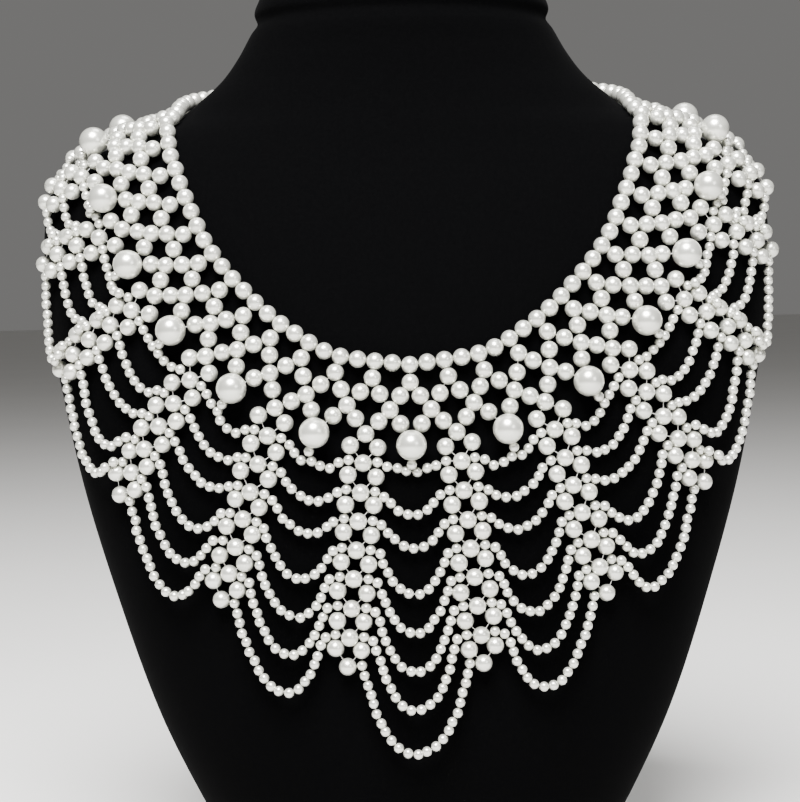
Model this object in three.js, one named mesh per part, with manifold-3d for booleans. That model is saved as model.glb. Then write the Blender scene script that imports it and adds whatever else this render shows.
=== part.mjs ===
// Bib necklace of white pearl beads on a plain neck bust.
// Millimetres, +Z up. The front of the bust faces -Y.
//
// The bust is a stack of level sections. The necklace is laid on it: the neckline string runs
// round the neck, the collar net spreads out from the neckline over the chest, and below the net
// hang the ladders, the drop pearls and the swags, the strings that join neighbouring ladders.

import * as THREE from 'three';
import { mergeVertices } from 'three/addons/utils/BufferGeometryUtils.js';
import Module from 'manifold-3d';

const wasm = await Module();
wasm.setup();

// Driving dimensions
const clearance = 0.3;
const bustHeight = 322;
const shoulderWidth = 264;
const bustDepth = 119;
const bustSides = 24;
const pearl = 5.8;
const dropPearl = 10;
const dropPearlLift = 1.6;
const seedPearl = 3.4;
const threadNeck = 1.4;
const netThickness = 4.6;
const netFloor = 0.8;
const swagThickness = 3;
const swagSpacing = 4.0;
const restMargin = 1.8;
const claspLength = 12;
const claspDiameter = 5;
const claspChamfer = 0.2 * claspDiameter;
const beadSides = 10;
const dropBands = 5;
const swagSides = 8;
const joinTolerance = 0.05;

// Squareness of the bust's level sections: 2 is an ellipse, more is squarer
const sectionPower = 2.2;

// Bust sections further apart than this share of bustHeight get one more between them
const widestSectionStep = 0.12;

// Bust sections from the base up: height as a share of bustHeight, width of shoulderWidth,
// front and back of bustDepth
const bustSections = [
  { height: 0, width: 0.44, front: 0.185, back: 0.93 },
  { height: 0.012, width: 0.479, front: 0.16, back: 0.945 },
  { height: 0.047, width: 0.534, front: 0.118, back: 0.966 },
  { height: 0.102, width: 0.606, front: 0.076, back: 0.983 },
  { height: 0.196, width: 0.71, front: 0.029, back: 1 },
  { height: 0.311, width: 0.803, front: 0.004, back: 1 },
  { height: 0.45, width: 0.898, front: 0, back: 0.992 },
  { height: 0.559, width: 0.953, front: 0.025, back: 0.979 },
  { height: 0.652, width: 0.992, front: 0.076, back: 0.966 },
  { height: 0.73, width: 1, front: 0.134, back: 0.95 },
  { height: 0.776, width: 0.989, front: 0.176, back: 0.941 },
  { height: 0.807, width: 0.936, front: 0.206, back: 0.933 },
  { height: 0.826, width: 0.864, front: 0.223, back: 0.924 },
  { height: 0.845, width: 0.763, front: 0.235, back: 0.92 },
  { height: 0.866, width: 0.629, front: 0.248, back: 0.916 },
  { height: 0.885, width: 0.568, front: 0.256, back: 0.916 },
  { height: 0.91, width: 0.5, front: 0.261, back: 0.92 },
  { height: 0.935, width: 0.455, front: 0.261, back: 0.924 },
  { height: 0.96, width: 0.42, front: 0.256, back: 0.933 },
  { height: 0.973, width: 0.4, front: 0.261, back: 0.93 },
  { height: 0.984, width: 0.408, front: 0.252, back: 0.941 },
  { height: 1, width: 0.394, front: 0.261, back: 0.933 },
];

// Route of the neckline string: turn in degrees from the front, round a centre at a share of
// bustDepth, and height as a share of bustHeight
const necklineCentre = 0.555;
const necklineRoute = [
  { turn: 0, height: 0.59 },
  { turn: 20, height: 0.6 },
  { turn: 36, height: 0.635 },
  { turn: 46, height: 0.674 },
  { turn: 54, height: 0.717 },
  { turn: 60, height: 0.764 },
  { turn: 66, height: 0.811 },
  { turn: 73, height: 0.851 },
  { turn: 84, height: 0.876 },
  { turn: 100, height: 0.894 },
  { turn: 125, height: 0.91 },
  { turn: 150, height: 0.916 },
  { turn: 180, height: 0.919 },
];

// Bead of the neckline string: widest between these shares of its length, and this share of pearl
const beadShoulder = 0.22;
const beadFacetRadius = 0.48 * pearl;

// The collar net is a mesh of six-bead rings. Its rows lie at these distances from the neckline,
// in bead diameters
const netRows = {
  top: 0.56,
  firstGapSide: 1.4,
  firstGapEnd: 2.3,
  secondGapStart: 1.62,
  secondGapShoulder: 2.35,
  secondGapWaist: 3.05,
  secondGapEnd: 3.6,
  bottomBetween: 3.28,
  bottomAtDrop: 3.96,
  bottomAtLadder: 4.26,
};
const netStrut = 0.5;
const netFoot = 0.4;
const dropRow = 4.8;
const beadsPerDrop = 4;
const chordBeads = 4;
const dropsEachSide = 7;

// Ladders from the front to the shoulder: pairs of beads down each one, and how much it leans
// from straight away from the neckline towards straight down
const ladders = [
  { pairs: 8, lean: 0.5 },
  { pairs: 7, lean: 0.5 },
  { pairs: 6, lean: 0.15 },
  { pairs: 5, lean: -0.15 },
  { pairs: 4, lean: -0.25 },
  { pairs: 3, lean: -0.1 },
  { pairs: 2, lean: 0 },
];
const ladderHalfWidth = 1.3 * pearl;
const pairReach = 0.84 * pearl;
const ladderWaist = 1.14 * pearl;
const ladderTipWidth = 0.4 * pearl;
const ladderTip = 0.62 * pearl;
const pairPitch = 1.69 * pearl;
const firstPair = 0.69 * pearl;
const tieReach = 0.5 * pairPitch;

// Seed beads in each swag, from the neckline outwards
const swagBeads = [6, 8, 9, 12, 14, 16, 18, 21];

// Longest that a swag is for the distance it spans, where neighbouring ladders lie close together
const deepestSwag = 1.8;

// Settling of a swag: rounds, how far it falls in the first one, and pulls back to its length
// in each
const settleRounds = 400;
const firstFall = 0.25;
const pullsEachRound = 8;

// Seed beads that one straight piece of a swag's tube covers, and where the swag is folded
const beadsPerPiece = 3;
const beadsPerFoldedPiece = 2;

const materials = {
  velvet: () => new THREE.MeshStandardMaterial({ color: 0x0b0b0c, roughness: 0.95, metalness: 0 }),
  pearl: () => new THREE.MeshStandardMaterial({ color: 0xf1eee4, roughness: 0.25, metalness: 0 }),
  clasp: () => new THREE.MeshStandardMaterial({ color: 0xc9cacc, roughness: 0.3, metalness: 1 }),
};

const down = new THREE.Vector3(0, 0, -1);

// Distances for measuring the bust's slope and finding a place on it
const surfaceProbe = 0.2;
const placeTolerance = 1e-3;

// A smooth curve through the rows of a table that never overshoots them
function smoothColumn(rows, key, column) {
  const at = rows.map((row) => row[key]);
  const value = rows.map((row) => row[column]);
  const rise = at.slice(1).map((x, i) => (value[i + 1] - value[i]) / (x - at[i]));
  const slope = at.map((_, i) => {
    if (i === 0 || i === rise.length) return rise[Math.min(i, rise.length - 1)];
    if (rise[i - 1] * rise[i] <= 0) return 0;
    return (2 * rise[i - 1] * rise[i]) / (rise[i - 1] + rise[i]);
  });
  return (x) => {
    const inside = THREE.MathUtils.clamp(x, at[0], at[at.length - 1]);
    let i = 0;
    while (i < at.length - 2 && inside > at[i + 1]) i += 1;
    const span = at[i + 1] - at[i];
    const t = (inside - at[i]) / span;
    const blend = t * t * (3 - 2 * t);
    const enter = t * (1 - t) * (1 - t) * span * slope[i];
    const leave = t * t * (t - 1) * span * slope[i + 1];
    return value[i] + (value[i + 1] - value[i]) * blend + enter + leave;
  };
}

const sectionWidth = smoothColumn(bustSections, 'height', 'width');
const sectionFront = smoothColumn(bustSections, 'height', 'front');
const sectionBack = smoothColumn(bustSections, 'height', 'back');

// Half width, middle and half depth of the bust's section at height z
function sectionAt(z) {
  const share = z / bustHeight;
  const front = sectionFront(share) * bustDepth;
  const back = sectionBack(share) * bustDepth;
  return {
    halfWidth: (sectionWidth(share) * shoulderWidth) / 2,
    middle: (front + back) / 2,
    halfDepth: (back - front) / 2,
  };
}

// Zero on the bust's surface, more outside it
function bustLevel(x, y, z) {
  const section = sectionAt(z);
  const across = Math.abs(x / section.halfWidth) ** sectionPower;
  const along = Math.abs((y - section.middle) / section.halfDepth) ** sectionPower;
  return (across + along) ** (1 / sectionPower) - 1;
}

// Outward direction of the bust's surface near a point, and the distance from it
function bustContact(p) {
  const h = surfaceProbe;
  const slope = new THREE.Vector3(
    bustLevel(p.x + h, p.y, p.z) - bustLevel(p.x - h, p.y, p.z),
    bustLevel(p.x, p.y + h, p.z) - bustLevel(p.x, p.y - h, p.z),
    bustLevel(p.x, p.y, p.z + h) - bustLevel(p.x, p.y, p.z - h),
  ).divideScalar(2 * h);
  const steepness = slope.length();
  return { normal: slope.divideScalar(steepness), distance: bustLevel(p.x, p.y, p.z) / steepness };
}

// The point moved square to the bust until it is the given distance off its surface
function layOnBust(p, distance, rounds = 3) {
  const laid = p.clone();
  for (let i = 0; i < rounds; i += 1) {
    const contact = bustContact(laid);
    laid.addScaledVector(contact.normal, distance - contact.distance);
  }
  return laid;
}

// A closed surface through rings of points, with flat ends
function loft(rings) {
  const count = rings[0].length;
  const points = rings.flat();
  const faces = [];
  for (let i = 0; i + 1 < rings.length; i += 1) {
    for (let j = 0; j < count; j += 1) {
      const a = i * count + j;
      const b = i * count + ((j + 1) % count);
      faces.push(a, b, b + count, a, b + count, a + count);
    }
  }
  for (const [start, flip] of [[0, true], [(rings.length - 1) * count, false]]) {
    for (let j = 1; j + 1 < count; j += 1) {
      faces.push(start, start + (flip ? j + 1 : j), start + (flip ? j : j + 1));
    }
  }
  const geometry = new THREE.BufferGeometry().setFromPoints(points);
  geometry.setIndex(faces);
  return facingOut(geometry);
}

// The same closed surface with every face turned outwards
function facingOut(geometry) {
  const position = geometry.getAttribute('position');
  const index = geometry.getIndex().array;
  const a = new THREE.Vector3();
  const b = new THREE.Vector3();
  const c = new THREE.Vector3();
  let volume = 0;
  for (let i = 0; i < index.length; i += 3) {
    a.fromBufferAttribute(position, index[i]);
    b.fromBufferAttribute(position, index[i + 1]);
    c.fromBufferAttribute(position, index[i + 2]);
    volume += a.dot(b.cross(c));
  }
  if (volume < 0) {
    for (let i = 0; i < index.length; i += 3) {
      [index[i + 1], index[i + 2]] = [index[i + 2], index[i + 1]];
    }
  }
  return geometry;
}

function positionsOnly(geometry) {
  const plain = geometry.clone();
  plain.deleteAttribute('normal');
  plain.deleteAttribute('uv');
  return mergeVertices(plain, 1e-4);
}

function toSolid(geometry) {
  const plain = positionsOnly(geometry);
  return new wasm.Manifold(new wasm.Mesh({
    numProp: 3,
    vertProperties: new Float32Array(plain.getAttribute('position').array),
    triVerts: new Uint32Array(plain.getIndex().array),
  }));
}

function fromSolid(solid) {
  const mesh = solid.simplify(joinTolerance).getMesh();
  const geometry = new THREE.BufferGeometry();
  geometry.setAttribute('position', new THREE.BufferAttribute(mesh.vertProperties, 3));
  geometry.setIndex(new THREE.BufferAttribute(mesh.triVerts, 1));
  return geometry;
}

function makeBust() {
  const levels = [];
  bustSections.forEach((row, i) => {
    if (i > 0) {
      const below = bustSections[i - 1].height;
      if (row.height - below > widestSectionStep) levels.push((row.height + below) / 2);
    }
    levels.push(row.height);
  });
  const rings = levels.map((share) => {
    const z = share * bustHeight;
    const section = sectionAt(z);
    return Array.from({ length: bustSides }, (_, j) => {
      const angle = ((j + 0.5) / bustSides) * 2 * Math.PI;
      const round = (v) => Math.sign(v) * Math.abs(v) ** (2 / sectionPower);
      return new THREE.Vector3(
        section.halfWidth * round(Math.cos(angle)),
        section.middle + section.halfDepth * round(Math.sin(angle)),
        z,
      );
    });
  });
  return loft(rings);
}

// Neckline: points on the bust from the front round to the back, on the +X side
const routeHeight = smoothColumn(necklineRoute, 'turn', 'height');
const beadRest = pearl / 2 + clearance;

function necklinePoint(turn) {
  const angle = THREE.MathUtils.degToRad(turn);
  const outwards = new THREE.Vector3(Math.sin(angle), -Math.cos(angle), 0);
  const centre = new THREE.Vector3(0, necklineCentre * bustDepth, routeHeight(turn) * bustHeight);
  let near = 0;
  let far = shoulderWidth;
  while (far - near > placeTolerance) {
    const reach = (near + far) / 2;
    const place = centre.clone().addScaledVector(outwards, reach);
    if (bustContact(place).distance < beadRest) near = reach;
    else far = reach;
  }
  return centre.addScaledVector(outwards, near);
}

const turnStep = 2;
const neckline = new THREE.CatmullRomCurve3(
  Array.from({ length: 180 / turnStep + 1 }, (_, i) => necklinePoint(i * turnStep)),
);
neckline.arcLengthDivisions = 1000;
const halfNeckline = neckline.getLength();
const beadsEachSide = Math.round((halfNeckline - claspLength / 2) / pearl - 0.5);
const beadPitch = (halfNeckline - claspLength / 2 - clearance) / (beadsEachSide + 0.5);

// Place and direction on the neckline, counted in beads from the front centre
function necklineAt(bead) {
  const share = Math.min((Math.abs(bead) * beadPitch) / halfNeckline, 1);
  const point = neckline.getPointAt(share);
  const tangent = neckline.getTangentAt(share);
  if (share === 0) tangent.set(1, 0, 0);
  if (bead < 0) {
    point.x *= -1;
    tangent.set(tangent.x, -tangent.y, -tangent.z);
  }
  return { point, tangent };
}

// A walk over the bust from a place in a direction, one millimetre a step
function walk(point, heading, length) {
  const steps = [{ point, heading }];
  for (let i = 0; i < length; i += 1) {
    const last = steps[steps.length - 1];
    const next = layOnBust(last.point.clone().add(last.heading), beadRest, 2);
    const { normal } = bustContact(next);
    const turned = last.heading.clone().addScaledVector(normal, -last.heading.dot(normal));
    steps.push({ point: next, heading: turned.normalize() });
  }
  return steps;
}

function alongWalk(steps, distance) {
  const i = THREE.MathUtils.clamp(Math.floor(distance), 0, steps.length - 2);
  const point = steps[i].point.clone().lerp(steps[i + 1].point, distance - i);
  return { point, heading: steps[i].heading.clone() };
}

const collarWalks = new Map();
const widestCollar = 6 * pearl;

// Place on the collar: beads along the neckline and millimetres away from it
function collarAt(bead, away) {
  const key = Math.round(Math.abs(bead) * 20) / 20;
  if (!collarWalks.has(key)) {
    const { point } = necklineAt(key);
    const chord = necklineAt(key + chordBeads).point.sub(necklineAt(key - chordBeads).point);
    const { normal } = bustContact(point);
    const heading = new THREE.Vector3().crossVectors(normal, chord).normalize();
    if (heading.z > 0) heading.negate();
    collarWalks.set(key, walk(point, heading, Math.ceil(widestCollar)));
  }
  const place = alongWalk(collarWalks.get(key), away);
  if (bead < 0) {
    place.point.x *= -1;
    place.heading.x *= -1;
  }
  return place;
}

// Neckline string: one solid of joined beads, open at the back where the clasp goes
function makeNecklineString() {
  const profile = [
    { along: -0.5, radius: threadNeck / 2 },
    { along: -beadShoulder, radius: beadFacetRadius },
    { along: beadShoulder, radius: beadFacetRadius },
  ];
  const rings = [];
  const addRing = (bead, radius) => {
    const { point, tangent } = necklineAt(bead);
    const { normal } = bustContact(point);
    const side = new THREE.Vector3().crossVectors(tangent, normal).normalize();
    const up = new THREE.Vector3().crossVectors(side, tangent).normalize();
    rings.push(Array.from({ length: beadSides }, (_, j) => {
      const angle = (j / beadSides) * 2 * Math.PI;
      return point.clone()
        .addScaledVector(side, radius * Math.cos(angle))
        .addScaledVector(up, radius * Math.sin(angle));
    }));
  };
  for (let bead = -beadsEachSide; bead <= beadsEachSide; bead += 1) {
    for (const { along, radius } of profile) addRing(bead + along, radius);
  }
  addRing(beadsEachSide + 0.5, threadNeck / 2);
  return loft(rings);
}

// Clasp: a plain barrel across the back of the neck
function makeClasp() {
  const radius = claspDiameter / 2;
  const half = claspLength / 2;
  const outline = [
    new THREE.Vector2(0, -half),
    new THREE.Vector2(radius - claspChamfer, -half),
    new THREE.Vector2(radius, claspChamfer - half),
    new THREE.Vector2(radius, half - claspChamfer),
    new THREE.Vector2(radius - claspChamfer, half),
    new THREE.Vector2(0, half),
  ];
  const barrel = positionsOnly(new THREE.LatheGeometry(outline, beadSides));
  barrel.rotateZ(Math.PI / 2);
  const back = neckline.getPointAt(1);
  barrel.translate(0, back.y, back.z);
  return facingOut(barrel);
}

// Collar net: a flat pattern with its gaps cut out, wrapped round the bust
function makeCollarNet() {
  const lastBead = beadsPerDrop * dropsEachSide + 2;
  const row = (name) => -netRows[name] * pearl;
  const edge = [];
  for (let bead = -lastBead; bead < lastBead; bead += 2) {
    edge.push([bead - netStrut, 'top'], [bead + netStrut, 'top']);
    edge.push([bead + netStrut, 'firstGapSide'], [bead + 1, 'firstGapEnd']);
    edge.push([bead + 2 - netStrut, 'firstGapSide']);
  }
  edge.push([lastBead - netStrut, 'top'], [lastBead + netStrut, 'top']);
  for (let bead = lastBead; bead >= -lastBead; bead -= 2) {
    const atDrop = bead % beadsPerDrop === 0;
    const foot = atDrop ? 'bottomAtDrop' : 'bottomAtLadder';
    edge.push([bead + netFoot, foot], [bead - netFoot, foot]);
    if (bead > -lastBead) edge.push([bead - 1, 'bottomBetween']);
  }
  const pattern = new THREE.Shape(
    edge.map(([bead, name]) => new THREE.Vector2(bead * beadPitch, row(name))),
  );
  for (let bead = 2 - lastBead; bead < lastBead; bead += 2) {
    const gap = [
      [bead, 'secondGapStart'],
      [bead - netStrut, 'secondGapShoulder'],
      [bead - netStrut, 'secondGapWaist'],
      [bead, 'secondGapEnd'],
      [bead + netStrut, 'secondGapWaist'],
      [bead + netStrut, 'secondGapShoulder'],
    ];
    pattern.holes.push(new THREE.Path(
      gap.map(([at, name]) => new THREE.Vector2(at * beadPitch, row(name))),
    ));
  }
  const flat = new THREE.ExtrudeGeometry(pattern, { depth: 1, bevelEnabled: false });
  const wrapped = positionsOnly(flat);
  const position = wrapped.getAttribute('position');
  for (let i = 0; i < position.count; i += 1) {
    const { point } = collarAt(position.getX(i) / beadPitch, -position.getY(i));
    const lift = netFloor + position.getZ(i) * netThickness;
    const laid = layOnBust(point, lift);
    position.setXYZ(i, laid.x, laid.y, laid.z);
  }
  return facingOut(wrapped);
}

// Ladder lines: the places down each ladder, from its top bead
const ladderTop = netRows.bottomAtLadder * pearl;

function ladderLine(order) {
  const { pairs, lean } = ladders[order];
  const top = collarAt(beadsPerDrop * (order + 0.5), ladderTop);
  const heading = top.heading.clone().addScaledVector(down, lean).normalize();
  return walk(top.point, heading, Math.ceil(firstPair + pairs * pairPitch) + 2);
}

const ladderLines = ladders.map((_, order) => ladderLine(order));

// Place beside a ladder on the +X side: so far down it, so far sideways from its middle line, away
// from the front for a positive reach, and so far off the bust
function besideLadder(order, distance, reach, lift) {
  const { point, heading } = alongWalk(ladderLines[order], distance);
  const { normal } = bustContact(point);
  const side = new THREE.Vector3().crossVectors(normal, heading).normalize();
  return layOnBust(point.addScaledVector(side, reach), lift);
}

function tieDistance(pair) {
  return firstPair + pair * pairPitch + tieReach;
}

// Ladder: one band as wide as its paired beads, ending at its bottom bead
function makeLadder(order) {
  const { pairs } = ladders[order];
  const rings = [];
  const top = netFloor + netThickness;
  const addRing = (distance, halfWidth) => {
    const corners = [[-halfWidth, netFloor], [halfWidth, netFloor], [halfWidth, top], [-halfWidth, top]];
    rings.push(corners.map(([reach, lift]) => besideLadder(order, distance, reach, lift)));
  };
  addRing(clearance + ladderTipWidth * Math.abs(ladders[order].lean), ladderTipWidth);
  for (let pair = 0; pair < pairs; pair += 1) {
    addRing(firstPair + pair * pairPitch, ladderHalfWidth);
    addRing(tieDistance(pair), ladderWaist);
  }
  addRing(tieDistance(pairs - 1) + ladderTip, ladderTipWidth);
  return loft(rings);
}

// Round obstacles that a swag rests on: the ladders' beads, the drops and the swags below
const obstacles = [];

function addObstacle(point, radius) {
  obstacles.push({ point, radius: radius + restMargin });
  obstacles.push({ point: point.clone().setX(-point.x), radius: radius + restMargin });
}

function placeObstacles() {
  ladders.forEach(({ pairs }, order) => {
    for (let pair = 0; pair < pairs; pair += 1) {
      const distance = firstPair + pair * pairPitch;
      addObstacle(besideLadder(order, distance, pairReach, beadRest), pearl / 2);
      addObstacle(besideLadder(order, distance, -pairReach, beadRest), pearl / 2);
      addObstacle(besideLadder(order, distance, 0, beadRest), pearl / 2);
      addObstacle(besideLadder(order, tieDistance(pair), 0, beadRest), pearl / 2);
    }
  });
  for (let order = 0; order <= dropsEachSide; order += 1) {
    addObstacle(dropCentre(order), dropPearl / 2);
  }
}

// A string of seed beads hung between two ties, at rest under its own weight
function hangString(start, end, beads) {
  const steps = Math.max(beads, Math.ceil(start.distanceTo(end) / seedPearl)) + 1;
  const places = Array.from({ length: steps + 1 }, (_, i) => {
    const share = i / steps;
    const place = start.clone().lerp(end, share);
    place.z -= Math.sin(Math.PI * share) * seedPearl;
    return layOnBust(place, seedPearl);
  });
  const near = obstacles.filter(({ point }) => {
    const reach = steps * seedPearl * 0.5 + dropPearl + seedPearl;
    return point.distanceTo(start) < reach || point.distanceTo(end) < reach;
  });
  const offset = new THREE.Vector3();
  for (let round = 0; round < settleRounds; round += 1) {
    const fall = firstFall * (1 - round / settleRounds);
    for (let i = 1; i < steps; i += 1) places[i].z -= fall;
    for (let pull = 0; pull < pullsEachRound; pull += 1) {
      for (let i = 0; i < steps; i += 1) {
        offset.subVectors(places[i + 1], places[i]);
        const excess = (offset.length() - seedPearl) / offset.length();
        const fixedStart = i === 0;
        const fixedEnd = i + 1 === steps;
        if (!fixedStart) places[i].addScaledVector(offset, excess * (fixedEnd ? 1 : 0.5));
        if (!fixedEnd) places[i + 1].addScaledVector(offset, -excess * (fixedStart ? 1 : 0.5));
      }
    }
    for (let i = 1; i < steps; i += 1) {
      for (const { point, radius } of near) {
        offset.subVectors(places[i], point);
        const reach = radius + seedPearl / 2 + clearance;
        const gap = offset.length();
        if (gap < reach) places[i].addScaledVector(offset, (reach - gap) / gap);
      }
      const contact = bustContact(places[i]);
      const rest = seedPearl / 2 + clearance;
      if (contact.distance < rest) {
        places[i].addScaledVector(contact.normal, rest - contact.distance);
      }
    }
  }
  return places;
}

// A tube along a swag, from inside the ladder that carries it to just short of the next one
function makeSwag(places) {
  const round = new THREE.Shape(Array.from({ length: swagSides }, (_, j) => {
    const angle = (j / swagSides) * 2 * Math.PI;
    return new THREE.Vector2(Math.cos(angle), Math.sin(angle)).multiplyScalar(swagThickness / 2);
  }));
  const path = new THREE.CatmullRomCurve3(places);
  const length = path.getLength();
  const folded = length > 2 * places[0].distanceTo(places[places.length - 1]);
  const pieceLength = seedPearl * (folded ? beadsPerFoldedPiece : beadsPerPiece);
  const steps = Math.round(length / pieceLength);
  return new THREE.ExtrudeGeometry(round, { steps, bevelEnabled: false, extrudePath: path });
}

function dropCentre(order) {
  const { point } = collarAt(beadsPerDrop * order, dropRow * pearl);
  return layOnBust(point, dropPearl / 2 + clearance + dropPearlLift);
}

// Drop pearl: a round bead at the foot of the net
function makeDrop(order) {
  const ball = new THREE.SphereGeometry(dropPearl / 2, beadSides, dropBands);
  const centre = dropCentre(order);
  const geometry = positionsOnly(ball);
  geometry.rotateX(Math.PI / 2);
  geometry.translate(centre.x, centre.y, centre.z);
  return facingOut(geometry);
}

function mirrored(geometry) {
  const copy = geometry.clone();
  copy.scale(-1, 1, 1);
  return facingOut(copy);
}

// The swags of each bay, from the front bay outwards. A swag starts in the ladder that carries it
// and ends beside the next one
function placeSwags() {
  const bays = [];
  const fixedReach = ladderWaist - swagThickness / 4;
  const freeReach = ladderWaist + swagThickness / 2 + clearance;
  for (let order = ladders.length - 2; order >= -1; order -= 1) {
    const swags = [];
    for (let pair = ladders[order + 1].pairs - 1; pair >= 0; pair -= 1) {
      const distance = tieDistance(pair);
      const start = order < 0
        ? besideLadder(0, distance, -fixedReach, beadRest)
        : besideLadder(order, distance, fixedReach, beadRest);
      const end = besideLadder(order + 1, distance, -freeReach, beadRest);
      if (order < 0) end.x *= -1;
      const most = Math.round((deepestSwag * start.distanceTo(end)) / seedPearl);
      const places = hangString(start, end, Math.min(swagBeads[pair], most));
      swags[pair] = places;
      places.slice(1, -1).forEach((point) => {
        obstacles.push({ point, radius: swagSpacing - seedPearl / 2 - clearance });
        if (order >= 0) {
          obstacles.push({
            point: point.clone().setX(-point.x),
            radius: swagSpacing - seedPearl / 2 - clearance,
          });
        }
      });
    }
    bays[order + 1] = swags;
  }
  return bays;
}

const necklace = new THREE.Group();

function addPiece(name, geometry, material) {
  const piece = new THREE.Mesh(geometry, material());
  piece.name = name;
  piece.geometry.computeVertexNormals();
  necklace.add(piece);
}

addPiece('neck_bust', makeBust(), materials.velvet);
addPiece('neckline_string', makeNecklineString(), materials.pearl);
addPiece('clasp', makeClasp(), materials.clasp);
addPiece('collar_net', makeCollarNet(), materials.pearl);
for (let order = 0; order <= dropsEachSide; order += 1) {
  const drop = makeDrop(order);
  addPiece(order ? `drop_pearl_right_${order}` : 'drop_pearl_centre', drop, materials.pearl);
  if (order) addPiece(`drop_pearl_left_${order}`, mirrored(drop), materials.pearl);
}

placeObstacles();
const bays = placeSwags();

ladders.forEach((_, order) => {
  const band = toSolid(makeLadder(order));
  const outer = (bays[order + 1] ?? []).map((places) => toSolid(makeSwag(places)));
  const right = outer.reduce((sum, swag) => sum.add(swag), band);
  addPiece(`ladder_left_${order + 1}`, mirrored(fromSolid(right)), materials.pearl);
  const front = order ? [] : bays[0].map((places) => toSolid(makeSwag(places)));
  const whole = front.reduce((sum, swag) => sum.add(swag), right);
  addPiece(`ladder_right_${order + 1}`, fromSolid(whole), materials.pearl);
});

const bounds = new THREE.Box3().setFromObject(necklace);
const middle = bounds.getCenter(new THREE.Vector3());
necklace.position.set(-middle.x, -middle.y, -bounds.min.z);

export default necklace;
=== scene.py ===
"""Visual model of a bib necklace of white pearl beads on a black velvet neck bust.

The layout is worked out in millimetres, with the front of the bust at y = 0, facing -Y, and its base
at z = 0. to_frame turns millimetres into the frame's metres.
"""

import math

import bpy
import numpy as np
from mathutils import Matrix, Vector


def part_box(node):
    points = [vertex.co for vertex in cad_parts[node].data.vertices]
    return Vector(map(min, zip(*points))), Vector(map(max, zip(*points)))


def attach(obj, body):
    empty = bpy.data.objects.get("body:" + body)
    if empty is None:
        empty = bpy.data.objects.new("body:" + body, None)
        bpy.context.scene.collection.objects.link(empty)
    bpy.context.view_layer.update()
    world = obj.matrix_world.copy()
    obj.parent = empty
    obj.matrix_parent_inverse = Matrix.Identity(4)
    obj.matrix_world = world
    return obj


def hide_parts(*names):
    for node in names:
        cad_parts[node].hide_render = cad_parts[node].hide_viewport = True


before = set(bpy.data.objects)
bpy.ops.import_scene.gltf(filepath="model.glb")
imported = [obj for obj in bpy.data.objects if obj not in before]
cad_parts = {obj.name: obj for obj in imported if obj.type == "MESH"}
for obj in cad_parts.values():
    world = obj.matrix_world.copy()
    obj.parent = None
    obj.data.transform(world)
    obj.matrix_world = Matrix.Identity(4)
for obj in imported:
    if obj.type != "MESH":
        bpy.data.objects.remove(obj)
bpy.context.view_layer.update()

# Sizes in millimetres
CLEARANCE = 0.3
BUST_HEIGHT = 322
SHOULDER_WIDTH = 264
BUST_DEPTH = 119
PEARL = 5.8
DROP_PEARL = 10
DROP_LIFT = 0.8
SEED_PEARL = 3.4
THREAD = 0.3
CLASP_LENGTH = 12
CLASP_DIAMETER = 5
CLASP_ROUNDING = 0.2 * CLASP_DIAMETER
SWAG_SPACING = 3.9
REST_MARGIN = 0.1

# Distances of the beads' centres from the bust
FOOT_SEED_REST = 4
PEARL_REST = PEARL / 2 + CLEARANCE
SEED_REST = SEED_PEARL / 2 + CLEARANCE

# Squareness of the bust's level sections: 2 is an ellipse, more is squarer
SECTION_POWER = 2.2

# Bust sections from the base up: height as a share of BUST_HEIGHT, width of SHOULDER_WIDTH,
# front and back of BUST_DEPTH
BUST_SECTIONS = np.array([
    (0.000, 0.440, 0.185, 0.930),
    (0.012, 0.479, 0.160, 0.945),
    (0.047, 0.534, 0.118, 0.966),
    (0.102, 0.606, 0.076, 0.983),
    (0.196, 0.710, 0.029, 1.000),
    (0.311, 0.803, 0.004, 1.000),
    (0.450, 0.898, 0.000, 0.992),
    (0.559, 0.953, 0.025, 0.979),
    (0.652, 0.992, 0.076, 0.966),
    (0.730, 1.000, 0.134, 0.950),
    (0.776, 0.989, 0.176, 0.941),
    (0.807, 0.936, 0.206, 0.933),
    (0.826, 0.864, 0.223, 0.924),
    (0.845, 0.763, 0.235, 0.920),
    (0.866, 0.629, 0.248, 0.916),
    (0.885, 0.568, 0.256, 0.916),
    (0.910, 0.500, 0.261, 0.920),
    (0.935, 0.455, 0.261, 0.924),
    (0.960, 0.420, 0.256, 0.933),
    (0.973, 0.400, 0.261, 0.930),
    (0.984, 0.408, 0.252, 0.941),
    (1.000, 0.394, 0.261, 0.933),
])

# Bands of rings in the bust's mesh: lowest and highest share of BUST_HEIGHT, number of rings
BUST_BANDS = [(0, 0.06, 25), (0.06, 0.78, 70), (0.78, 0.96, 60), (0.96, 1, 30)]
BUST_COLUMNS = 160

# Rings on the bust's flat top, as shares of its outline
BUST_TOP_RINGS = [0.99, 0.975, 0.6]

# Route of the neckline string: turn in degrees from the front, round a centre at a share of
# BUST_DEPTH, and height as a share of BUST_HEIGHT
NECKLINE_CENTRE = 0.555
NECKLINE_ROUTE = np.array([
    (0, 0.590), (20, 0.600), (36, 0.635), (46, 0.674), (54, 0.717), (60, 0.764), (66, 0.811),
    (73, 0.851), (84, 0.876), (100, 0.894), (125, 0.910), (150, 0.916), (180, 0.919),
])
NECKLINE_STEPS = 720

# The collar net is a mesh of six-bead rings, with its rows at these distances from the neckline
LAST_NET_BEAD = 30
NET_ROWS = {"crown": 5.8, "arm": 10.8, "joint": 15.8, "leg": 20.0, "foot": 24.7, "drop": 27.0}
BEADS_PER_DROP = 4
CHORD_BEADS = 4
DROPS_EACH_SIDE = 7
COLLAR_REACH = 6 * PEARL

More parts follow.
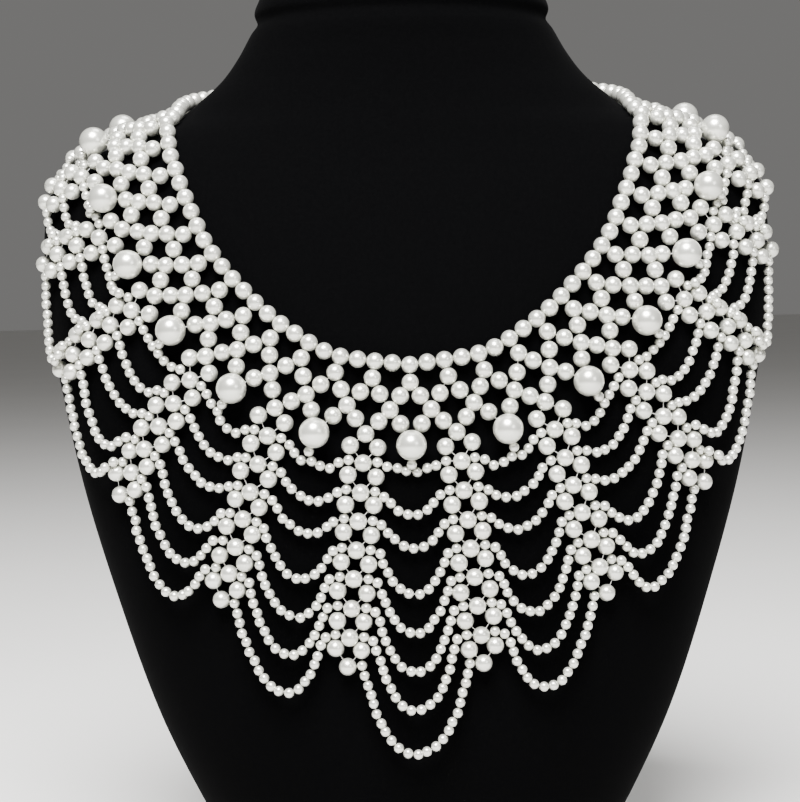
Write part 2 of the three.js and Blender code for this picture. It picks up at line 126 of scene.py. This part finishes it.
# Ladders from the front to the shoulder: pairs of beads, lean from straight away from the
# neckline towards straight down
LADDERS = [(8, 0.5), (7, 0.5), (6, 0.15), (5, -0.15), (4, -0.25), (3, -0.1), (2, 0)]
PAIR_PITCH = 1.69 * PEARL
FIRST_PAIR = 0.69 * PEARL
PAIR_REACH = 0.79 * PEARL
TIE_REACH = 0.5 * PAIR_PITCH
MIDDLE_REACH = 0.57 * PAIR_PITCH
SWAG_REACH = 0.83 * PEARL

# Seed beads in each swag, from the neckline outwards, and the longest that a swag is for its span
SWAG_BEADS = [6, 8, 9, 12, 14, 16, 18, 21]
DEEPEST_SWAG = 2

# How a swag settles: rounds, fall in the first one in millimetres, and how many times in each
# round its beads are pulled back to one seed bead apart
SETTLE_ROUNDS = 260
FIRST_FALL = 0.3
PULLS_EACH_ROUND = 5

# How far beads lie from their even places, as a standard deviation in millimetres
NET_SPREAD = 0.12
PAIR_SPREAD = 0.2
MIDDLE_SPREAD = 0.15
SWAG_SPREAD = 0.15

# The largest bead of a kind, as a share of its size
LARGEST_BEAD = 1.03

# Camera: distance, aim, lens and sensor in millimetres, tilt and roll in degrees
CAMERA_DISTANCE = 620
CAMERA_AIM = np.array([-3.5, 0, 178])
CAMERA_TILT = 3
CAMERA_ROLL = -1.2
LENS = 83.7
SENSOR_WIDTH = 36

# Lights, all aimed at the chest: place and size in metres, power in watts
CHEST = (0, 0, 0.2)
LIGHTS = {
    "key light": ((-0.12, -0.75, 1.2), 0.8, 98),
    "fill light": ((0.9, -1.1, 0.6), 0.5, 5),
    "top light": ((0.1, 0.3, 1.4), 0.6, 7),
}
STUDIO_COLOUR = (0.86, 0.85, 0.83, 1)
STUDIO_STRENGTH = 0.2

# Half the floor's width in metres
FLOOR_REACH = 20

# Numbers of the sockets that a Mix node has for colours
MIX_FACTOR = 0
MIX_FIRST = 6
MIX_SECOND = 7
MIX_RESULT = 2

rng = np.random.default_rng(7)


def smooth_column(rows, column):
    """A smooth curve through one column of a table that never overshoots its rows."""
    at, value = rows[:, 0], rows[:, column]
    rise = np.diff(value) / np.diff(at)
    slope = np.r_[rise[0], np.zeros(len(rise) - 1), rise[-1]]
    same = rise[:-1] * rise[1:] > 0
    total = np.where(same, rise[:-1] + rise[1:], 1)
    slope[1:-1] = np.where(same, 2 * rise[:-1] * rise[1:] / total, 0)

    def curve(x):
        x = np.clip(x, at[0], at[-1])
        i = np.clip(np.searchsorted(at, x, side="left") - 1, 0, len(at) - 2)
        span = at[i + 1] - at[i]
        t = (x - at[i]) / span
        blend = t * t * (3 - 2 * t)
        enter = t * (1 - t) ** 2 * span * slope[i]
        leave = t * t * (t - 1) * span * slope[i + 1]
        return value[i] + (value[i + 1] - value[i]) * blend + enter + leave

    return curve


section_width = smooth_column(BUST_SECTIONS, 1)
section_front = smooth_column(BUST_SECTIONS, 2)
section_back = smooth_column(BUST_SECTIONS, 3)
route_height = smooth_column(NECKLINE_ROUTE, 1)


def section_at(z):
    """Half width, middle and half depth of the bust's section at height z."""
    share = z / BUST_HEIGHT
    front = section_front(share) * BUST_DEPTH
    back = section_back(share) * BUST_DEPTH
    return section_width(share) * SHOULDER_WIDTH / 2, (front + back) / 2, (back - front) / 2


def bust_level(points):
    """A number for each point, 0 on the bust's surface and larger outside it."""
    half_width, middle, half_depth = section_at(points[:, 2])
    across = np.abs(points[:, 0] / half_width) ** SECTION_POWER
    along = np.abs((points[:, 1] - middle) / half_depth) ** SECTION_POWER
    return (across + along) ** (1 / SECTION_POWER) - 1


def bust_contact(points, probe=0.2):
    """Outward directions of the bust's surface near points, and the distances from it."""
    offsets = np.vstack([np.zeros(3), np.eye(3) * probe, -np.eye(3) * probe])
    level = bust_level((points[None] + offsets[:, None]).reshape(-1, 3)).reshape(7, -1)
    slope = ((level[1:4] - level[4:7]) / (2 * probe)).T
    steepness = np.linalg.norm(slope, axis=1)
    return slope / steepness[:, None], level[0] / steepness


def lay_on_bust(points, distance, rounds=3):
    """Points moved to a distance from the bust's surface."""
    laid = np.array(points, float)
    for _ in range(rounds):
        normal, away = bust_contact(laid)
        laid += normal * (distance - away)[:, None]
    return laid


def lay_point(point, distance, rounds=3):
    return lay_on_bust(np.array([point]), distance, rounds)[0]


def unit(v):
    return v / np.linalg.norm(v)


def normal_at(point):
    return bust_contact(point[None])[0][0]


def flip_x(points):
    return np.asarray(points) * np.array([-1, 1, 1])


def neckline_points(turns, rounds=20):
    """Places of the neckline string at turns in degrees round the neck."""
    angle = np.radians(turns)
    outwards = np.stack([np.sin(angle), -np.cos(angle), np.zeros_like(angle)], 1)
    centre = np.zeros_like(outwards)
    centre[:, 1] = NECKLINE_CENTRE * BUST_DEPTH
    centre[:, 2] = route_height(turns) * BUST_HEIGHT
    near, far = np.zeros(len(turns)), np.full(len(turns), float(SHOULDER_WIDTH))
    for _ in range(rounds):
        reach = (near + far) / 2
        inside = bust_contact(centre + outwards * reach[:, None])[1] < PEARL_REST
        near, far = np.where(inside, reach, near), np.where(inside, far, reach)
    return centre + outwards * near[:, None]


neckline = neckline_points(np.linspace(0, 180, NECKLINE_STEPS + 1))
neckline_run = np.r_[0, np.cumsum(np.linalg.norm(np.diff(neckline, axis=0), axis=1))]
half_neckline = neckline_run[-1]
beads_each_side = round((half_neckline - CLASP_LENGTH / 2) / PEARL - 0.5)
bead_pitch = (half_neckline - CLASP_LENGTH / 2 - CLEARANCE) / (beads_each_side + 0.5)


def neckline_at(bead):
    """Place on the neckline at a number of beads from the front, negative on the -X side."""
    run = min(abs(bead) * bead_pitch, half_neckline)
    point = np.array([np.interp(run, neckline_run, neckline[:, axis]) for axis in range(3)])
    if bead < 0:
        point[0] *= -1
    return point


def walk(point, heading, length):
    """A walk over the bust from a place in a direction, one millimetre a step."""
    steps = [(point, heading)]
    for _ in range(length):
        point = lay_point(point + heading, PEARL_REST, 2)
        normal = normal_at(point)
        heading = unit(heading - normal * (heading @ normal))
        steps.append((point, heading))
    return steps


def along_walk(steps, distance):
    """Place and heading at a distance along a walk."""
    i = int(np.clip(math.floor(distance), 0, len(steps) - 2))
    share = distance - i
    return steps[i][0] * (1 - share) + steps[i + 1][0] * share, steps[i][1]


collar_walks = {}


def collar_at(bead, away):
    """Place and heading on the collar: beads along the neckline and millimetres away from it."""
    key = abs(bead)
    if key not in collar_walks:
        point = neckline_at(key)
        chord = neckline_at(key + CHORD_BEADS) - neckline_at(key - CHORD_BEADS)
        heading = unit(np.cross(normal_at(point), chord))
        if heading[2] > 0:
            heading = -heading
        collar_walks[key] = walk(point, heading, math.ceil(COLLAR_REACH))
    point, heading = along_walk(collar_walks[key], away)
    if bead < 0:
        point, heading = flip_x(point), flip_x(heading)
    return point, heading


def ladder_line(order):
    """The walk that a ladder hangs along, from the foot of the net."""
    pairs, lean = LADDERS[order]
    point, heading = collar_at(BEADS_PER_DROP * (order + 0.5), NET_ROWS["foot"])
    heading = unit(heading + np.array([0, 0, -lean]))
    return walk(point, heading, math.ceil(FIRST_PAIR + pairs * PAIR_PITCH) + 2)


ladder_lines = [ladder_line(order) for order in range(len(LADDERS))]


def beside_ladder(order, distance, reach):
    """Place of a bead on the +X side's ladder: so far down it, so far away from the front."""
    point, heading = along_walk(ladder_lines[order], distance)
    side = unit(np.cross(normal_at(point), heading))
    return lay_point(point + side * reach, PEARL_REST)


def pair_place(order, pair, reach):
    return beside_ladder(order, FIRST_PAIR + pair * PAIR_PITCH, reach)


def middle_place(order, pair):
    return beside_ladder(order, FIRST_PAIR + pair * PAIR_PITCH + MIDDLE_REACH, 0)


def tie_place(order, pair, reach):
    return beside_ladder(order, FIRST_PAIR + pair * PAIR_PITCH + TIE_REACH, reach)


def drop_centre(order):
    point, _ = collar_at(BEADS_PER_DROP * order, NET_ROWS["drop"])
    return lay_point(point, DROP_PEARL / 2 + CLEARANCE + DROP_LIFT)


def drop_foot(order, rounds=4):
    """Place of the seed bead that a drop ends in, against the drop's foot and nearer to the bust."""
    centre = drop_centre(order)
    _, heading = collar_at(BEADS_PER_DROP * order, NET_ROWS["drop"])
    foot = centre
    for _ in range(rounds):
        foot = lay_point(foot + heading, FOOT_SEED_REST)
        foot = centre + unit(foot - centre) * (DROP_PEARL + SEED_PEARL) / 2
    return foot


# Spheres that the swags rest on, each one a centre and a radius
obstacles = []


def add_obstacles(points, radius):
    for point in points:
        obstacles.append((*point, radius))
        obstacles.append((*flip_x(point), radius))


def place_obstacles():
    """The pearls of the ladders, the drops and the seed beads at their feet, on both sides."""
    for order, (pairs, _) in enumerate(LADDERS):
        for pair in range(pairs):
            beads = [pair_place(order, pair, reach) for reach in (-PAIR_REACH, PAIR_REACH)]
            beads.append(middle_place(order, pair))
            add_obstacles(beads, PEARL / 2 + REST_MARGIN)
    for order in range(DROPS_EACH_SIDE + 1):
        add_obstacles([drop_centre(order)], DROP_PEARL / 2)
        add_obstacles([drop_foot(order)], SEED_PEARL / 2 - CLEARANCE)


def pull_together(places, first, moves_start, moves_end):
    """Brings every second pair of neighbours back to one seed bead apart."""
    a, b = places[first:-1:2], places[first + 1::2]
    offset = b - a
    length = np.linalg.norm(offset, axis=1)
    shift = offset * ((length - SEED_PEARL) / length)[:, None]
    a += shift * moves_start[first::2, None]
    b -= shift * moves_end[first::2, None]


def push_clear(free, spheres):
    """Moves beads out of the spheres and then out of the bust."""
    offset = free[:, None] - spheres[None, :, :3]
    gap = np.linalg.norm(offset, axis=2)
    push = np.clip(spheres[None, :, 3] + SEED_REST - gap, 0, None) / gap
    free += (offset * push[:, :, None]).sum(axis=1)
    normal, away = bust_contact(free)
    free += normal * np.clip(SEED_REST - away, 0, None)[:, None]


def hold_beside(free, held_by):
    """Brings the bead nearest to a place to one seed bead from it, if it is further away."""
    offset = free - held_by
    gap = np.linalg.norm(offset, axis=1)
    nearest = np.argmin(gap)
    free[nearest] -= offset[nearest] * max(0, 1 - SEED_PEARL / gap[nearest])


def hang_string(start, end, beads, held_by=None):
    """A string of seed beads between two ties, at rest under its own weight.

    A seed bead that it is held by keeps the nearest bead of the string beside it.
    """
    steps = max(beads + 1, math.ceil(np.linalg.norm(end - start) / SEED_PEARL))
    share = np.linspace(0, 1, steps + 1)
    places = start + (end - start) * share[:, None]
    places[:, 2] -= np.sin(math.pi * share) * SEED_PEARL
    places = lay_on_bust(places, SEED_PEARL)
    places[0], places[-1] = start, end
    moves_start = np.r_[0, np.full(steps - 2, 0.5), 1]
    moves_end = np.r_[1, np.full(steps - 2, 0.5), 0]
    spheres = np.array(obstacles)
    reach = steps * SEED_PEARL / 2 + DROP_PEARL + SEED_PEARL
    near = np.linalg.norm(spheres[:, :3] - (start + end) / 2, axis=1) < reach
    spheres = spheres[near]
    for turn in range(SETTLE_ROUNDS):
        places[1:-1, 2] -= FIRST_FALL * (1 - turn / SETTLE_ROUNDS)
        for _ in range(PULLS_EACH_ROUND):
            pull_together(places, 0, moves_start, moves_end)
            pull_together(places, 1, moves_start, moves_end)
        push_clear(places[1:-1], spheres)
        if held_by is not None:
            hold_beside(places[1:-1], held_by)
    return places


def hang_free_swag(start, end, beads):
    """A swag of so many seed beads, or of fewer where it would hang too deep for its span."""
    most = round(DEEPEST_SWAG * np.linalg.norm(end - start) / SEED_PEARL)
    return hang_string(start, end, min(beads, most))


def hang_held_swag(start, end, foot):
    """A swag that the seed bead at a drop's foot holds up between its ties."""
    span = np.linalg.norm(foot - start) + np.linalg.norm(end - foot)
    return hang_string(start, end, math.floor(span / SEED_PEARL), foot)


def place_swags():
    """The swags of each bay, from the front bay outwards, as places from tie to tie.

    They are hung from the shoulder to the front, and in each bay from the lowest up, so that each
    one rests on those hung before it.
    """
    place_obstacles()
    bays = []
    for order in range(len(LADDERS) - 2, -2, -1):
        swags = []
        for pair in range(LADDERS[order + 1][0] - 1, -1, -1):
            end = tie_place(order + 1, pair, -SWAG_REACH)
            if order < 0:
                start, end = end, flip_x(end)
            else:
                start = tie_place(order, pair, SWAG_REACH)
            if pair == 0 and order >= 0:
                places = hang_held_swag(start, end, drop_foot(order + 1))
            else:
                places = hang_free_swag(start, end, SWAG_BEADS[pair])
            swags.insert(0, places)
            add_obstacles(places[1:-1], SWAG_SPACING - SEED_PEARL / 2 - CLEARANCE)
        bays.insert(0, swags)
    return bays


def sphere_mesh(columns, rows):
    """Points and triangles of a round bead one unit across."""
    points = [(0, 0, 0.5)]
    for i in range(1, rows):
        tilt = math.pi * i / rows
        for j in range(columns):
            turn = 2 * math.pi * j / columns
            points.append((
                math.sin(tilt) * math.cos(turn) / 2,
                math.sin(tilt) * math.sin(turn) / 2,
                math.cos(tilt) / 2,
            ))
    points.append((0, 0, -0.5))
    last = len(points) - 1
    faces = []
    for j in range(columns):
        k = (j + 1) % columns
        faces.append((0, 1 + j, 1 + k))
        for i in range(rows - 2):
            a, b = 1 + i * columns + j, 1 + i * columns + k
            faces.append((a, a + columns, b + columns))
            faces.append((a, b + columns, b))
        foot = last - columns
        faces.append((last, foot + k, foot + j))
    return np.array(points), np.array(faces)


PEARL_MESH = sphere_mesh(columns=22, rows=13)
SEED_MESH = sphere_mesh(columns=14, rows=9)
DROP_MESH = sphere_mesh(columns=48, rows=28)


def wall_faces(rings, columns):
    """Triangles between rings of points that follow each other."""
    faces = []
    for i in range(rings - 1):
        for j in range(columns):
            a, b = i * columns + j, i * columns + (j + 1) % columns
            faces.append((a, b, b + columns))
            faces.append((a, b + columns, a + columns))
    return faces


def end_faces(rings, columns, first_centre, last_centre):
    """Triangles that close the first and the last ring towards their centres."""
    last = (rings - 1) * columns
    faces = []
    for j in range(columns):
        k = (j + 1) % columns
        faces.append((last + j, last + k, last_centre))
        faces.append((k, j, first_centre))
    return faces


def tube(places, radius, sides=5):
    """Points and triangles of a thin open tube through places."""
    places = np.asarray(places, float)
    along = np.gradient(places, axis=0)
    along /= np.linalg.norm(along, axis=1)[:, None]
    slant = np.array([0.31, 0.88, 0.36])
    across = np.cross(along, slant)
    across /= np.linalg.norm(across, axis=1)[:, None]
    other = np.cross(along, across)
    turn = (np.arange(sides) / sides * math.tau)[None, :, None]
    rings = places[:, None] + radius * (across[:, None] * np.cos(turn) + other[:, None] * np.sin(turn))
    return rings.reshape(-1, 3), np.array(wall_faces(len(places), sides))


class Beadwork:
    """Beads or threads gathered as arrays, to be made into one mesh."""

    def __init__(self):
        self.points = []
        self.faces = []
        self.shades = []
        self.count = 0

    def add(self, points, faces, shade=0):
        self.points.append(points)
        self.faces.append(faces + self.count)
        self.shades.append(np.full(len(points), shade))
        self.count += len(points)

    def bead(self, centre, diameter, mesh):
        """Adds a bead, turned at random, with a size and a shade of its own."""
        points, faces = mesh
        size = diameter * rng.uniform(1.0, LARGEST_BEAD)
        turn = np.array(Matrix.Rotation(rng.uniform(0, math.tau), 3, Vector(rng.normal(size=3))))
        self.add(points @ turn.T * size + centre, faces, rng.uniform(0, 1))


def spread(point, deviation):
    return point + rng.normal(scale=deviation, size=3)


def node_material(name, noise_scale, colours, shader_values, attribute=None):
    """A procedural material whose colour varies between two shades with a fine noise.

    The noise is multiplied by the attribute, if one is given.
    """
    material = bpy.data.materials.new(name)
    material.use_nodes = True
    nodes, links = material.node_tree.nodes, material.node_tree.links
    shader = nodes["Principled BSDF"]
    for socket, value in shader_values.items():
        shader.inputs[socket].default_value = value
    noise = nodes.new("ShaderNodeTexNoise")
    noise.inputs["Scale"].default_value = noise_scale
    coordinates = nodes.new("ShaderNodeTexCoord")
    links.new(coordinates.outputs["Object"], noise.inputs["Vector"])
    mix = nodes.new("ShaderNodeMix")
    mix.data_type = "RGBA"
    mix.inputs[MIX_FIRST].default_value = (*colours[0], 1)
    mix.inputs[MIX_SECOND].default_value = (*colours[1], 1)
    factor = noise.outputs["Fac"]
    if attribute:
        shade = nodes.new("ShaderNodeAttribute")
        shade.attribute_name = attribute
        product = nodes.new("ShaderNodeMath")
        product.operation = "MULTIPLY"
        links.new(noise.outputs["Fac"], product.inputs[0])
        links.new(shade.outputs["Fac"], product.inputs[1])
        factor = product.outputs[0]
    links.new(factor, mix.inputs[MIX_FACTOR])
    links.new(mix.outputs[MIX_RESULT], shader.inputs["Base Color"])
    return material, shader, noise


def pearl_material():
    """Pearl with a soft metallic shine under a clear coat. Each bead has its own shade."""
    colours = [(0.61, 0.61, 0.55), (0.78, 0.78, 0.71)]
    values = {"Roughness": 0.28, "Metallic": 0.65, "Coat Weight": 1.0, "Coat Roughness": 0.2}
    return node_material("pearl", 260, colours, values, "shade")[0]


def velvet_material():
    """Black velvet, with its pile as a fine bump."""
    colours = [(0.0004, 0.0004, 0.0005), (0.0009, 0.0009, 0.001)]
    values = {
        "Roughness": 1.0,
        "Specular IOR Level": 0.02,
        "Sheen Weight": 0.004,
        "Sheen Roughness": 0.4,
    }
    velvet, shader, noise = node_material("velvet", 900, colours, values)
    links = velvet.node_tree.links
    bump = velvet.node_tree.nodes.new("ShaderNodeBump")
    bump.inputs["Strength"].default_value = 0.25
    bump.inputs["Distance"].default_value = 0.0004
    links.new(noise.outputs["Fac"], bump.inputs["Height"])
    links.new(bump.outputs["Normal"], shader.inputs["Normal"])
    return velvet


def metal_material():
    colours = [(0.5, 0.5, 0.52), (0.62, 0.62, 0.63)]
    return node_material("clasp metal", 400, colours, {"Roughness": 0.3, "Metallic": 1.0})[0]


def thread_material():
    colours = [(0.6, 0.59, 0.56), (0.72, 0.71, 0.68)]
    return node_material("thread", 500, colours, {"Roughness": 0.4, "Transmission Weight": 0.3})[0]


def floor_material():
    colours = [(0.76, 0.75, 0.73), (0.8, 0.79, 0.77)]
    return node_material("pale floor", 3, colours, {"Roughness": 0.8})[0]


materials = {
    "pearl": pearl_material(),
    "velvet": velvet_material(),
    "metal": metal_material(),
    "thread": thread_material(),
    "floor": floor_material(),
}

# The layout moves along Y until its clasp lies where the frame's clasp is
clasp_low, clasp_high = (np.array(corner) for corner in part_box("clasp"))
frame_shift = np.array([0, (clasp_low[1] + clasp_high[1]) / 2 - neckline[-1, 1] / 1000, 0])


def to_frame(points):
    return np.asarray(points, float) / 1000 + frame_shift


def make_object(name, points, faces, material, shades=None):
    mesh = bpy.data.meshes.new(name)
    mesh.vertices.add(len(points))
    mesh.vertices.foreach_set("co", to_frame(points).astype(np.float32).ravel())
    mesh.loops.add(faces.size)
    mesh.loops.foreach_set("vertex_index", faces.astype(np.int32).ravel())
    mesh.polygons.add(len(faces))
    mesh.polygons.foreach_set("loop_start", np.arange(0, faces.size, 3, dtype=np.int32))
    mesh.update(calc_edges=True)
    mesh.polygons.foreach_set("use_smooth", np.ones(len(faces), dtype=bool))
    if shades is not None:
        layer = mesh.attributes.new("shade", "FLOAT", "POINT")
        layer.data.foreach_set("value", np.asarray(shades, dtype=np.float32))
    mesh.materials.append(material)
    item = bpy.data.objects.new(name, mesh)
    bpy.context.scene.collection.objects.link(item)
    return item


def finish_piece(item, slot, *nodes):
    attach(item, "root")
    if nodes:
        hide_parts(*nodes)


def make_beads(name, work, node):
    """A piece of pearl beads that stands for a node."""
    points, faces = np.vstack(work.points), np.vstack(work.faces)
    item = make_object(name, points, faces, materials["pearl"], np.hstack(work.shades))
    finish_piece(item, "pearl", node)


# Runs of thread from bead to bead, gathered while the beads are made
threads = []


def make_bust():
    """The bust as level rings from its base to its flat top."""
    heights = np.unique(np.hstack([np.linspace(low, high, rings) for low, high, rings in BUST_BANDS]))
    angle = np.arange(BUST_COLUMNS) / BUST_COLUMNS * math.tau
    cosine, sine = np.cos(angle), np.sin(angle)
    power = 2 / SECTION_POWER
    rings = []
    for height in heights:
        z = height * BUST_HEIGHT
        half_width, middle, half_depth = section_at(z)
        rings.append(np.stack([
            half_width * np.sign(cosine) * np.abs(cosine) ** power,
            middle + half_depth * np.sign(sine) * np.abs(sine) ** power,
            np.full(BUST_COLUMNS, z),
        ], 1))
    top = rings[-1]
    centre = top.mean(axis=0)
    for share in BUST_TOP_RINGS:
        rings.append(centre + (top - centre) * np.array([share, share, 1]))
    points = np.vstack([*rings, centre[None], rings[0].mean(axis=0)[None]])
    faces = wall_faces(len(rings), BUST_COLUMNS)
    faces += end_faces(len(rings), BUST_COLUMNS, len(points) - 1, len(points) - 2)
    item = make_object("velvet_bust", points, np.array(faces), materials["velvet"])
    finish_piece(item, "velvet", "neck_bust")


def make_neckline():
    work = Beadwork()
    for bead in range(-beads_each_side, beads_each_side + 1):
        work.bead(neckline_at(bead), PEARL, PEARL_MESH)
    last_half = 2 * beads_each_side + 1
    threads.append([neckline_at(half / 2) for half in range(-last_half, last_half + 1)])
    make_beads("neckline_beads", work, "neckline_string")


def make_net():
    """Rings of six beads: a crown bead under every second neckline bead, joined by arms and legs."""
    work = Beadwork()

    def place(bead, row):
        return spread(collar_at(bead, NET_ROWS[row])[0], NET_SPREAD)

    for bead in range(-LAST_NET_BEAD, LAST_NET_BEAD + 1, 2):
        crown = place(bead, "crown")
        at_drop = bead % BEADS_PER_DROP == 0
        foot = drop_centre(abs(bead) // BEADS_PER_DROP) if at_drop else place(bead, "foot")
        if at_drop and bead < 0:
            foot = flip_x(foot)
        work.bead(crown, PEARL, PEARL_MESH)
        threads.append([neckline_at(bead), crown])
        if not at_drop:
            work.bead(foot, PEARL, PEARL_MESH)
        for side in (-1, 1):
            if abs(bead + side) > LAST_NET_BEAD:
                continue
            arm = place(bead + side / 2, "arm")
            leg = place(bead + side / 2, "leg")
            joint = collar_at(bead + side, NET_ROWS["joint"])[0]
            work.bead(arm, PEARL, PEARL_MESH)
            work.bead(leg, PEARL, PEARL_MESH)
            if side > 0:
                work.bead(joint, PEARL, PEARL_MESH)
            threads.append([crown, arm, joint, leg, foot])
    make_beads("collar_net_beads", work, "collar_net")


def make_drops():
    """The large pearls at the foot of the net, each with the seed bead that it ends in."""
    for order in range(DROPS_EACH_SIDE + 1):
        places = np.array([drop_centre(order), drop_foot(order)])
        sides = [("right", places), ("left", flip_x(places))] if order else [("centre", places)]
        for side, (centre, foot) in sides:
            tail = f"_{side}_{order}" if order else "_centre"
            work = Beadwork()
            work.bead(centre, DROP_PEARL, DROP_MESH)
            work.bead(foot, SEED_PEARL, SEED_MESH)
            threads.append([centre, foot])
            make_beads(f"drop{tail}", work, f"drop_pearl{tail}")


def make_ladder(work, order, side):
    """Adds a ladder's pairs and middle beads, and the seed beads that its swags are tied to."""
    flip = np.array([side, 1, 1])
    pairs = LADDERS[order][0]
    top = beside_ladder(order, 0, 0) * flip
    for pair in range(pairs):
        centre = spread(middle_place(order, pair) * flip, MIDDLE_SPREAD)
        for reach in (-PAIR_REACH, PAIR_REACH):
            bead = spread(pair_place(order, pair, reach) * flip, PAIR_SPREAD)
            work.bead(bead, PEARL, PEARL_MESH)
            threads.append([top, bead, centre])
        work.bead(centre, PEARL, PEARL_MESH)
        outer_tie = [SWAG_REACH] if pair < pairs - 1 else []
        for reach in [-SWAG_REACH, *outer_tie]:
            tie = tie_place(order, pair, reach) * flip
            work.bead(tie, SEED_PEARL, SEED_MESH)
            threads.append([centre, tie])
        top = centre


def make_ladders(bays):
    """Ladders with the swags of their outer bays. Those of the front bay go with the first right one."""
    for order in range(len(LADDERS)):
        outer_bay = bays[order + 1] if order + 1 < len(bays) else []
        for side, hand in ((-1, "left"), (1, "right")):
            work = Beadwork()
            make_ladder(work, order, side)
            swags = [places * np.array([side, 1, 1]) for places in outer_bay]
            if order == 0 and side > 0:
                swags += bays[0]
            for places in swags:
                for place in places[1:-1]:
                    work.bead(spread(place, SWAG_SPREAD), SEED_PEARL, SEED_MESH)
                threads.append(places)
            node = f"ladder_{hand}_{order + 1}"
            make_beads(f"{node}_beads", work, node)


def make_threads():
    work = Beadwork()
    for places in threads:
        work.add(*tube(places, THREAD / 2))
    points, faces = np.vstack(work.points), np.vstack(work.faces)
    item = make_object("bead_threads", points, faces, materials["thread"])
    finish_piece(item, "pearl")


def make_clasp(columns=40, end_steps=6):
    """A plain barrel with rounded ends, across the back of the neck."""
    half, radius = CLASP_LENGTH / 2, CLASP_DIAMETER / 2
    outline = [(-half, radius - CLASP_ROUNDING)]
    for i in range(1, end_steps + 1):
        turn = math.pi / 2 * i / end_steps
        x = -half + CLASP_ROUNDING * (1 - math.cos(turn))
        outline.append((x, radius - CLASP_ROUNDING * (1 - math.sin(turn))))
    outline += [(-x, r) for x, r in reversed(outline)]
    turns = np.arange(columns) / columns * math.tau
    points = [(x, r * math.cos(turn), r * math.sin(turn)) for x, r in outline for turn in turns]
    points += [(-half, 0, 0), (half, 0, 0)]
    faces = wall_faces(len(outline), columns)
    faces += end_faces(len(outline), columns, len(points) - 2, len(points) - 1)
    placed = neckline[-1] + np.array(points)
    item = make_object("clasp_barrel", placed, np.array(faces), materials["metal"])
    finish_piece(item, "clasp", "clasp")


def make_stage():
    mesh = bpy.data.meshes.new("floor")
    signs = [(-1, -1), (1, -1), (1, 1), (-1, 1)]
    corners = [(x * FLOOR_REACH, y * FLOOR_REACH, 0) for x, y in signs]
    mesh.from_pydata(corners, [], [(0, 1, 2, 3)])
    mesh.materials.append(materials["floor"])
    floor = bpy.data.objects.new("floor", mesh)
    bpy.context.scene.collection.objects.link(floor)


def add_light(name, place, size, power):
    light = bpy.data.lights.new(name, "AREA")
    light.shape = "DISK"
    light.size = size
    light.energy = power
    item = bpy.data.objects.new(name, light)
    bpy.context.scene.collection.objects.link(item)
    item.location = place
    item.rotation_euler = (Vector(CHEST) - Vector(place)).to_track_quat("-Z", "Y").to_euler()


def make_lights():
    for name, (place, size, power) in LIGHTS.items():
        add_light(name, place, size, power)
    world = bpy.data.worlds.new("studio")
    bpy.context.scene.world = world
    world.use_nodes = True
    background = world.node_tree.nodes["Background"]
    background.inputs["Color"].default_value = STUDIO_COLOUR
    background.inputs["Strength"].default_value = STUDIO_STRENGTH


def make_camera():
    """The camera at the photo's angle, tilted down at its aim and rolled round its axis."""
    tilt, roll = math.radians(CAMERA_TILT), math.radians(CAMERA_ROLL)
    forward = np.array([0, math.cos(tilt), -math.sin(tilt)])
    upright = np.array([0, math.sin(tilt), math.cos(tilt)])
    across = np.array([1, 0, 0])
    right = math.cos(roll) * across + math.sin(roll) * upright
    up = -math.sin(roll) * across + math.cos(roll) * upright
    data = bpy.data.cameras.new("camera")
    data.sensor_fit = "HORIZONTAL"
    data.sensor_width = SENSOR_WIDTH
    data.lens = LENS
    camera = bpy.data.objects.new("camera", data)
    bpy.context.scene.collection.objects.link(camera)
    place = to_frame(CAMERA_AIM - forward * CAMERA_DISTANCE)
    turn = Matrix(np.stack([right, up, -forward], 1).tolist()).to_4x4()
    camera.matrix_world = Matrix.Translation(Vector(place)) @ turn
    bpy.context.scene.camera = camera


make_bust()
make_neckline()
make_net()
make_drops()
make_ladders(place_swags())
make_threads()
make_clasp()
make_stage()
make_lights()
make_camera()
